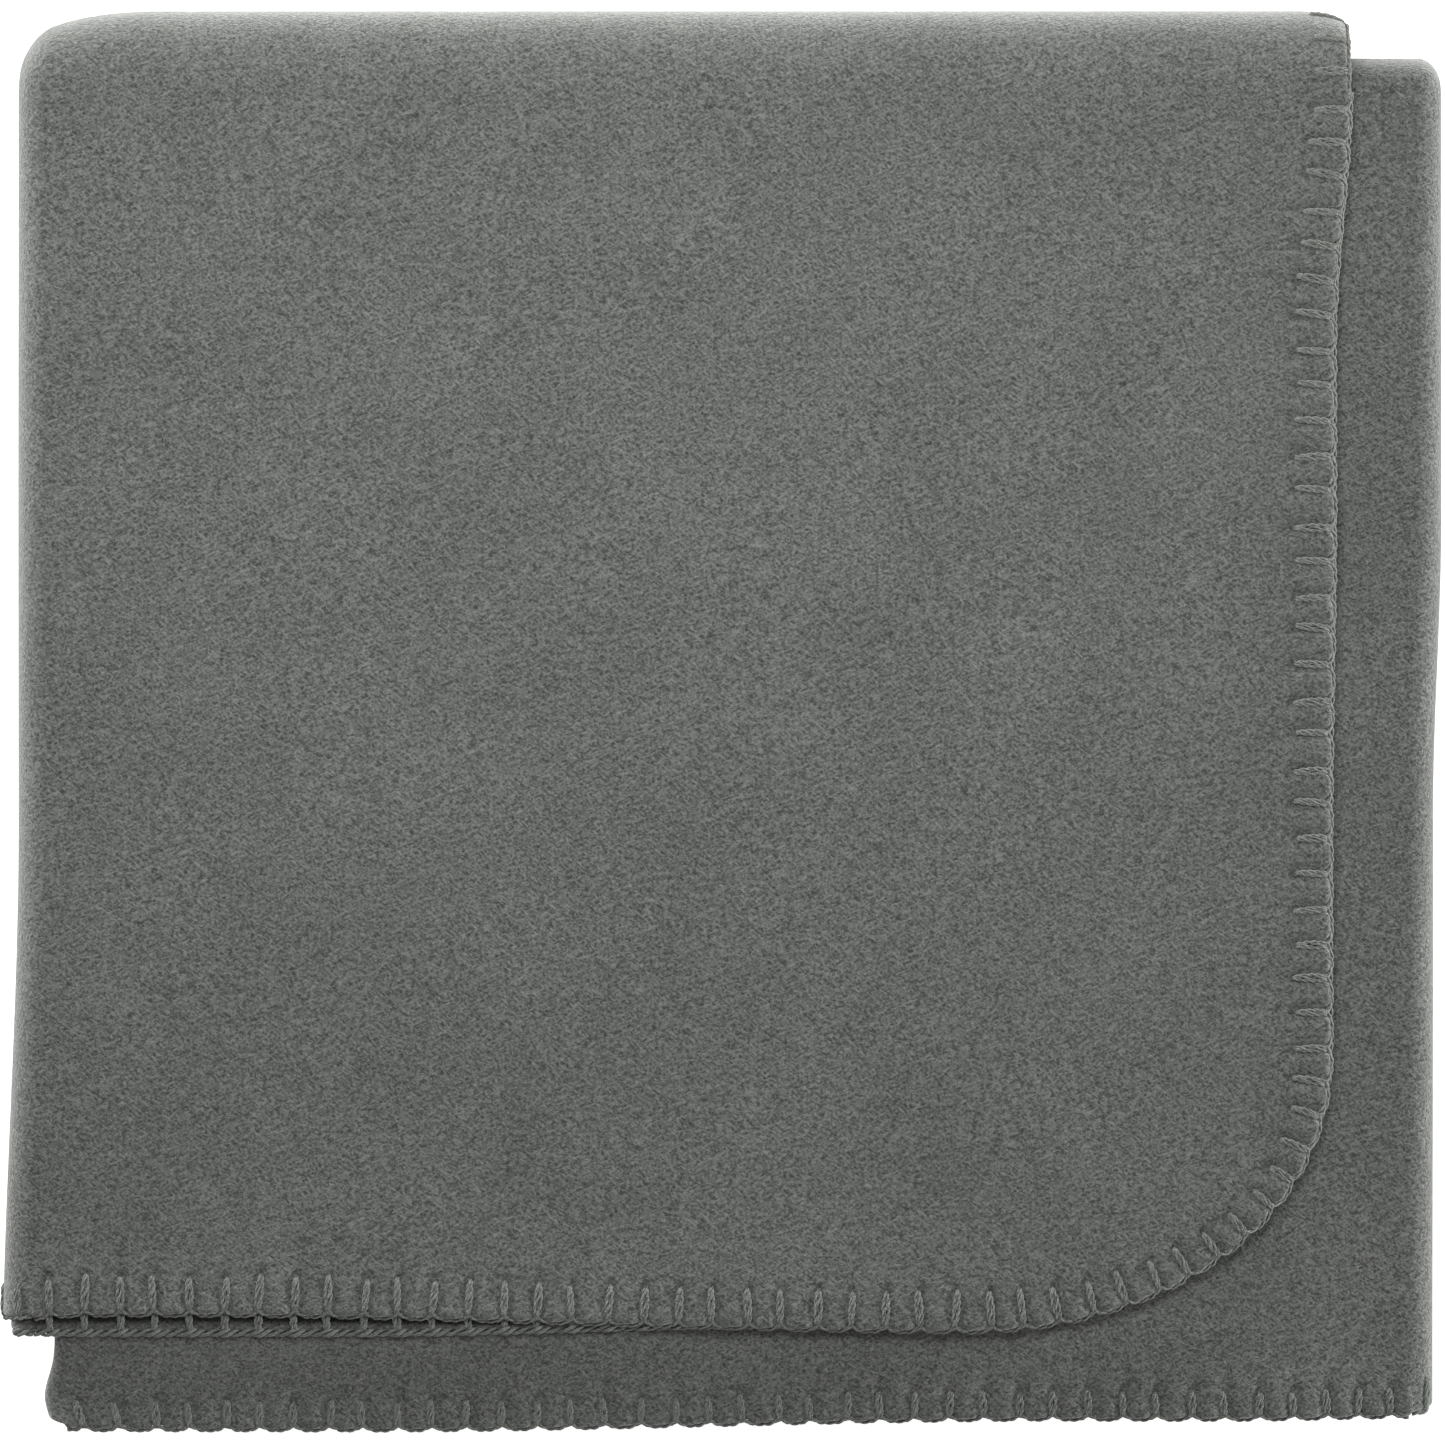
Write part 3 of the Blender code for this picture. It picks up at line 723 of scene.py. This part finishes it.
def end_thickness(roll):
    """Half the cloth's thickness along a layer, rounded off at a free end."""
    to_end = np.full(len(roll.x), 1.0)
    if roll is flap_roll:
        to_end = np.abs(roll.station - flap_end_x)
    elif roll is tucked_roll:
        to_end[: len(tucked_x)] = np.abs(tucked_x - tucked_end_x)
    return half_thickness(to_end)


def joined(name):
    """A layer of the roll, with the first column of the next one, so that they meet."""
    if name == "flap":
        return LAYERS[name]
    order = list(LAYERS)
    return LAYERS[name] + LAYERS[order[order.index(name) + 1]].part(slice(0, 1))


# A reach above and below the hinge for each layer, handed to bend_at_hinge, which does not bend it.
BEND_REACH = {"tucked": 0.0044, "middle": 0.0086, "base": 0.0010, "flap": 0.0125}


def bend_at_hinge(piece, reach):
    """Bake a piece's transform into its mesh. It is not bent between the halves."""
    meeting_z + reach
    meeting_z - reach
    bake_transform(piece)


for name, own_roll in LAYERS.items():
    roll = joined(name)
    half = end_thickness(own_roll)
    half = np.concatenate([half, np.full(len(roll.x) - len(half), CLOTH / 2)])
    plies = [
        (fold_grid(roll, middle_n + half), fold_grid(roll, middle_n - half))
        for middle_n in (FACE_N, INNER_N)
    ]
    piece = sheet_mesh(f"top_fold_{name}_fleece", plies, fleece)
    bend_at_hinge(piece, BEND_REACH[name])
    # Flat, the layer is as wide as its panel and turn, and as high as both plies' half turns; here
    # only each column's half-turn radius is worked out.
    radius = np.abs(own_roll.h + PLY * own_roll.normal_h) + own_roll.rise / 2
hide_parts("top_fold_face_ply")
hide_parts("top_fold_inner_ply")


# --- The edge whipping -------------------------------------------------------------------------
# Thick soft yarn of twisted strands, worked by machine through holes up to a centimetre from the
# edge. Each stitch is a narrow loop of three strands that opens in its middle, and its foot is
# chained to the next by a cord that runs outside the edge.


def twisted_yarn():
    """Spun acrylic, a shade paler than the fleece. Its short hairs break up every highlight. They
    are finer than 0.4 mm, and drawn that coarse so that they show."""
    material = bpy.data.materials.new("twisted_acrylic_yarn")
    material.use_nodes = True
    tree = material.node_tree
    shader = tree.nodes["Principled BSDF"]
    place = add_node(tree, "ShaderNodeTexCoord").outputs["Object"]
    hairs = add_node(
        tree,
        "ShaderNodeTexNoise",
        values={"Scale": millimetres(0.4), "Detail": 2.0, "Distortion": 0.5},
        links={"Vector": place},
    ).outputs["Fac"]
    shade = add_node(
        tree,
        "ShaderNodeMapRange",
        values={"From Min": 0.3, "From Max": 0.7},
        links={"Value": hairs},
    ).outputs["Result"]
    colour = add_node(
        tree,
        "ShaderNodeMix",
        settings={"data_type": "RGBA"},
        values={6: linear("#555854"), 7: linear("#858883")},
        links={0: shade},
    ).outputs[2]
    bump = add_node(
        tree,
        "ShaderNodeBump",
        values={"Strength": 0.5, "Distance": 0.0003},
        links={"Height": hairs},
    ).outputs["Normal"]
    tree.links.new(colour, shader.inputs["Base Color"])
    tree.links.new(bump, shader.inputs["Normal"])
    shader.inputs["Roughness"].default_value = 0.85
    shader.inputs["Specular IOR Level"].default_value = 0.25
    shader.inputs["Sheen Weight"].default_value = 0.3
    shader.inputs["Sheen Roughness"].default_value = 0.4
    return material


yarn = twisted_yarn()
STRAND_SIDES = 6
THREAD = 0.00030  # radius of one strand of a stitch


def strand(verts, faces, line, radius):
    """Add a round strand along a line: a tube of six sides, closed at both ends."""
    along = np.gradient(line, axis=0)
    along /= np.maximum(np.linalg.norm(along, axis=1, keepdims=True), 1e-9)
    side = np.cross(along, np.array([0.31, 0.17, 0.93]))
    side /= np.maximum(np.linalg.norm(side, axis=1, keepdims=True), 1e-9)
    other = np.cross(along, side)
    start = sum(len(block) for block in verts)
    angle = np.arange(STRAND_SIDES) * 2 * math.pi / STRAND_SIDES
    ring = (
        side[:, None, :] * np.cos(angle)[None, :, None]
        + other[:, None, :] * np.sin(angle)[None, :, None]
    )
    verts.append((line[:, None, :] + radius * ring).reshape(-1, 3))
    for i in range(len(line) - 1):
        for k in range(STRAND_SIDES):
            a, b = start + i * STRAND_SIDES + k, start + i * STRAND_SIDES + (k + 1) % STRAND_SIDES
            faces.append((a, b, b + STRAND_SIDES, a + STRAND_SIDES))
    faces.append(tuple(start + k for k in reversed(range(STRAND_SIDES))))
    last = start + (len(line) - 1) * STRAND_SIDES
    faces.append(tuple(last + k for k in range(STRAND_SIDES)))


def twist(verts, faces, line, across, up, strands, radius, reach, turns_per_m, phase=0.0):
    """Add several strands laid round each other, each at a reach from a line."""
    steps = np.linalg.norm(np.diff(line, axis=0), axis=1)
    length = np.concatenate([[0], np.cumsum(steps)])
    for number in range(strands):
        angle = 2 * math.pi * (length * turns_per_m + number / strands) + phase
        offset = across * np.cos(angle)[:, None] + up * np.sin(angle)[:, None]
        strand(verts, faces, line + reach * offset, radius)


def rounded_rise(share):
    """From 0 up to 1 at the middle and back to 0 at the end."""
    return np.sin(math.pi * np.clip(share, 0, 1))


def whipping(name, edge, stitched=True, braided=False, scalloped=False):
    """The yarn along an edge: a cord outside it, and where stitched, a loop at each stitch. Where
    the cloth is scalloped the cord follows it, and a hooked strand ties each stitch to it."""
    hand = random.Random(name)
    verts, faces = [], []
    middles = stitch_middles(edge)
    picked = np.arange(0, len(edge.points), 2)
    gap = np.abs(edge.length[picked][:, None] - middles[None, :]).min(1)
    foot = np.exp(-((gap / 0.0018) ** 2))[:, None]  # 1 at a stitch's foot, 0 between stitches
    out, facing = edge.out[picked], edge.facing[picked]
    # The cord runs outside the edge, below its middle, and climbs to the face at each foot.
    stands_out = 0.0013 - 0.0012 * foot if scalloped else 0.0004 + 0.0002 * foot
    cord = edge.points[picked] + out * stands_out + facing * (0.0011 * foot - 0.0006)
    if braided:
        twist(verts, faces, cord, out, facing, 3, 0.00052, reach=0.00085, turns_per_m=1 / PITCH)
    else:
        twist(verts, faces, cord, out, facing, 2, 0.00040, reach=0.00034, turns_per_m=190)

    share = np.linspace(0, 1, 24)[:, None]  # along a strand, from the needle hole to the edge
    for middle in middles if stitched else []:
        at = min(int(middle / edge.SPACING), len(edge.points) - 2)
        point, out, facing = edge.points[at], edge.out[at], edge.facing[at]
        along = np.cross(facing, out)
        bite = bite_at(edge, at) + hand.uniform(-0.0005, 0.0008)
        tilt = hand.uniform(-0.10, 0.10)
        width = 0.00066 + hand.uniform(-0.00015, 0.00015)
        depth = bite * (1 - share) - 0.0004 * share
        # The loop lies on the cloth, and dips into the needle hole and over the edge.
        over = CLOTH / 2 - 0.0001 + 0.0004 * rounded_rise(share) ** 0.5
        over = over - 0.0012 * np.exp(-((share / 0.07) ** 2))
        over = over - 0.0012 * np.clip((share - 0.9) / 0.1, 0, 1)
        across, up = np.repeat([along], len(share), 0), np.repeat([facing], len(share), 0)
        for leg in (-1, 0, 1):
            open_by = leg * width * rounded_rise(0.04 + 0.84 * share) ** 0.8
            height = over + 0.00012 * (leg == 0)
            line = point - out * depth + along * (open_by + tilt * depth) + facing * height
            strands = 1 if leg == 0 else 2
            phase = hand.uniform(0, 6)
            twist(verts, faces, line, across, up, strands, THREAD, 0.00026, 230, phase)
        if scalloped:
            # The hook starts on the face beside the foot, and curves along outside the edge.
            line = point + along * (0.0048 * share**2) + facing * (0.0013 - 0.0014 * share)
            line = line + out * (-0.0018 + 0.0027 * rounded_rise(np.clip(0.75 * share, 0, 0.5)))
            phase = hand.uniform(0, 6)
            twist(verts, faces, line, across, up, 2, THREAD, 0.00024, 240, phase)
    points = relax(np.concatenate(verts))
    points[:, 2] = np.maximum(points[:, 2], 0)
    return yarn_mesh(name, points, faces)


def yarn_mesh(name, points, faces):
    mesh = bpy.data.meshes.new(name)
    mesh.from_pydata(points.tolist(), [], faces)
    mesh.shade_smooth()
    mesh.materials.append(yarn)
    piece = bpy.data.objects.new(name, mesh)
    bpy.context.collection.objects.link(piece)
    return piece


def roll_cut_edge(roll, n, edge_y):
    """The cut edge of hidden columns, along their turns."""
    x, h = roll.at(n)
    points = np.stack([x, edge_y, meeting_z + h], 1)
    facing = np.stack([roll.normal_x, 0 * x, roll.normal_h], 1)
    out = np.repeat([[0.0, -1.0, 0.0]], len(x), 0)
    return Edge(points, out, facing).resampled()


def tucked_cut_edge(n, inner):
    """The tucked end, from the seam down round its corner to the tuck fold."""
    edge_y = float(edge_of(tucked_roll.part(slice(0, 1)), inner)[0])
    down_y = between(SEAM_Y, edge_y, 0.001)
    along_x = between(tucked_end_x, tuck_fold_x, 0.001)
    x = np.concatenate([np.full(len(down_y), tucked_end_x), along_x])
    y = np.concatenate([down_y, np.full(len(along_x), edge_y)])
    x, y = round_corner(x, y, tucked_end_x, edge_y, *TUCKED_CORNER)
    points = np.stack([x, y, np.full_like(x, meeting_z + 2 * LAYER - n)], 1)
    return outward(points, (0, 0, -1))


left_turn = flap_roll.part(slice(0, FLAP_FOLD_STEPS + 1))
right_turn = middle_roll.part(slice(len(middle_x), None))


def packet_edge(roll, inner):
    """The cut edge of one ply of some hidden columns."""
    return roll_cut_edge(roll, INNER_N if inner else FACE_N, edge_of(roll, inner))


upper_face_yarns = [
    whipping("upper_flap_whipping", flap_face_cut, scalloped=True),
    whipping("middle_flap_whipping", middle_cut, scalloped=True),
    whipping("left_turn_face_whipping", packet_edge(left_turn, False)),
    whipping("right_turn_face_whipping", packet_edge(right_turn, False)),
    whipping("base_face_whipping", packet_edge(base_roll, False), stitched=False),
    whipping("tucked_face_whipping", tucked_cut_edge(FACE_N, False), stitched=False),
]
upper_inner_yarns = [
    whipping("upper_flap_inner_whipping", flap_inner_cut, braided=True),
    whipping(
        "left_turn_inner_whipping", packet_edge(left_turn, True), stitched=False, braided=True
    ),
    whipping("base_inner_whipping", packet_edge(base_roll, True), stitched=False),
    whipping("tucked_inner_whipping", tucked_cut_edge(INNER_N, True), stitched=False),
]
for piece in upper_face_yarns + upper_inner_yarns:
    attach(piece, "upper_half")
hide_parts("upper_half_face_yarn")
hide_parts("upper_half_inner_yarn")


# --- Loose fibres on the top flap --------------------------------------------------------------
# Single polyester fibres that have worked out of the nap and lie on it in shallow curls. Real ones
# are a fiftieth of a millimetre thick, and these are made coarser so that they show.

FIBRES = 420
FIBRE_RADIUS = 0.00005
FIBRE_LENGTH = (0.003, 0.008)
shed = random.Random(21)
fibre_points, fibre_faces = [], []
along_fibre = np.linspace(0, 1, 9)
for _ in range(FIBRES):
    heading, curl = shed.uniform(0, 2 * math.pi), shed.uniform(-2.2, 2.2)
    step = shed.uniform(*FIBRE_LENGTH) / len(along_fibre)
    angle = heading + curl * along_fibre
    x = shed.uniform(-0.188, 0.160) + np.cumsum(np.cos(angle)) * step
    y = shed.uniform(-0.150, 0.172) + np.cumsum(np.sin(angle)) * step
    lift = 0.00045 * np.sin(math.pi * along_fibre) - 0.00015
    z = meeting_z + 3 * LAYER + FACE_N + CLOTH / 2 + lift
    strand(fibre_points, fibre_faces, np.stack([x, y, z], 1), FIBRE_RADIUS)
loose_fibres = yarn_mesh("loose_fibres", relax(np.concatenate(fibre_points)), fibre_faces)
loose_fibres.data.shade_flat()
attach(loose_fibres, "upper_half")


# --- The whipping over the top fold and in the lower half --------------------------------------
# The same yarn on the cloth's two ends, carried over the top fold and down to the crease. On the
# flap its loops show from the back, and on the tucked end they are inside the roll.


def fold_cut_edge(end_x, h, rise):
    """An end of a ply over the top fold, from the upper half to the lower."""
    angle = math.pi * np.linspace(0, 1, 60)
    y = np.concatenate([[SEAM_Y], hinge_y + (h + rise) * np.sin(angle), [SEAM_Y]])
    z = np.concatenate([[h], h * np.cos(angle), [-h]]) + meeting_z
    x = np.full_like(y, end_x)
    if end_x > 0:
        x = x + flap_skew(x, y)
    points = np.stack([x, y, z], 1)
    facing = np.stack([0 * y, np.r_[0, np.sin(angle), 0], np.r_[1, np.cos(angle), -1]], 1)
    out = np.repeat([[1.0, 0.0, 0.0]], len(y), 0)
    return Edge(points, out, facing).resampled()


def crease_cut_edge(end_x, panel_h, facing_h, crease_y):
    """An end of the doubled cloth in the lower half: down the face, round the crease, back up."""
    share = np.linspace(0, 1, 20)
    down, out = -np.sin(math.pi * share), np.cos(math.pi * share)
    y = np.concatenate([[SEAM_Y], crease_y + INNER_N * down, [SEAM_Y]])
    n = np.concatenate([[FACE_N], PLY + INNER_N * out, [INNER_N]])
    face = np.stack([0 * y, np.r_[0, down, 0], -facing_h * np.r_[1, out, -1]], 1)
    x = np.full_like(y, end_x)
    points = np.stack([x, y, meeting_z - (panel_h + facing_h * n)], 1)
    edge = Edge(points, np.repeat([[1.0, 0.0, 0.0]], len(y), 0), face).resampled()
    if end_x > 0:
        edge.points[:, 0] += flap_skew(edge.points[:, 0], edge.points[:, 1])
    return edge


for ply, n in (("face", FACE_N), ("inner", INNER_N)):
    for end, end_x, h, rise, stitched in (
        ("flap", flap_end_x, 3 * LAYER + n, FLAP_RISE, ply == "face"),
        ("tucked", tucked_end_x, 2 * LAYER - n, 0.0, False),
    ):
        name = f"top_fold_{ply}_{end}"
        piece = whipping(f"{name}_whipping", fold_cut_edge(end_x, h, rise), stitched)
        bend_at_hinge(piece, 0.9 * h)
        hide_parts(f"{name}_yarn")

for end, end_x, panel_h, facing_h, column in (
    ("flap", flap_end_x, 3 * LAYER, 1, -1),
    ("tucked", tucked_end_x, 2 * LAYER, -1, 0),
):
    crease_y = float(edge_of(whole_roll, True)[column]) + CREASE_STEP
    edge = crease_cut_edge(end_x, panel_h, facing_h, crease_y)
    piece = whipping(f"lower_half_{end}_whipping", edge, stitched=False)
    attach(piece, "lower_half")
    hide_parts(f"lower_half_{end}_yarn")


# --- Floor, light and camera -------------------------------------------------------------------
# A white light table, long soft lamps low at three sides and a small one overhead, and a camera
# looking straight down from 3 m through a long lens.

low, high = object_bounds()
floor_mesh = bpy.data.meshes.new("floor")
floor_mesh.from_pydata([(-3, -3, 0), (3, -3, 0), (3, 3, 0), (-3, 3, 0)], [], [(0, 1, 2, 3)])
floor = bpy.data.objects.new("floor", floor_mesh)
floor.location.z = low[2] - 0.0002
white = bpy.data.materials.new("white_paper")
white.use_nodes = True
for socket, value in (
    ("Base Color", linear("#fafafa")),
    ("Roughness", 0.9),
    ("Emission Color", linear("#ffffff")),
    ("Emission Strength", 0.8),
):
    white.node_tree.nodes["Principled BSDF"].inputs[socket].default_value = value
floor_mesh.materials.append(white)
bpy.context.collection.objects.link(floor)

world = bpy.data.worlds.new("studio")
world.use_nodes = True
world.node_tree.nodes["Background"].inputs["Color"].default_value = linear("#ffffff")
world.node_tree.nodes["Background"].inputs["Strength"].default_value = 0.26
bpy.context.scene.world = world

for name, place, size, energy in (
    ("left_strip", (-1.25, 0.85, 0.16), (1.2, 0.2), 27.5),
    ("right_strip", (1.45, -0.05, 0.16), (1.2, 0.2), 31),
    ("back_strip", (0.10, 1.50, 0.28), (1.2, 0.2), 2.5),
    ("overhead", (-0.05, 0.24, 0.62), (0.45, 0.3), 3.3),
):
    light = bpy.data.lights.new(name, "AREA")
    light.shape = "RECTANGLE"
    light.size, light.size_y = size
    light.energy = energy
    lamp = bpy.data.objects.new(name, light)
    lamp.location = place
    lamp.rotation_euler = (-Vector(place)).to_track_quat("-Z", "Y").to_euler()
    lamp.visible_camera = False
    bpy.context.collection.objects.link(lamp)

FRAME_WIDTH = 0.4017  # what the view takes in, at the height of the flap
FLAP_HEIGHT = 0.030
DISTANCE = 3.0
SENSOR = 36
camera_data = bpy.data.cameras.new("camera")
camera_data.sensor_width = SENSOR
camera_data.lens = SENSOR * (DISTANCE - FLAP_HEIGHT) / FRAME_WIDTH
camera_data.clip_end = 20
camera = bpy.data.objects.new("camera", camera_data)
camera.location = (0, 0, DISTANCE)
bpy.context.collection.objects.link(camera)
bpy.context.scene.camera = camera
bpy.context.scene.view_settings.view_transform = "Standard"
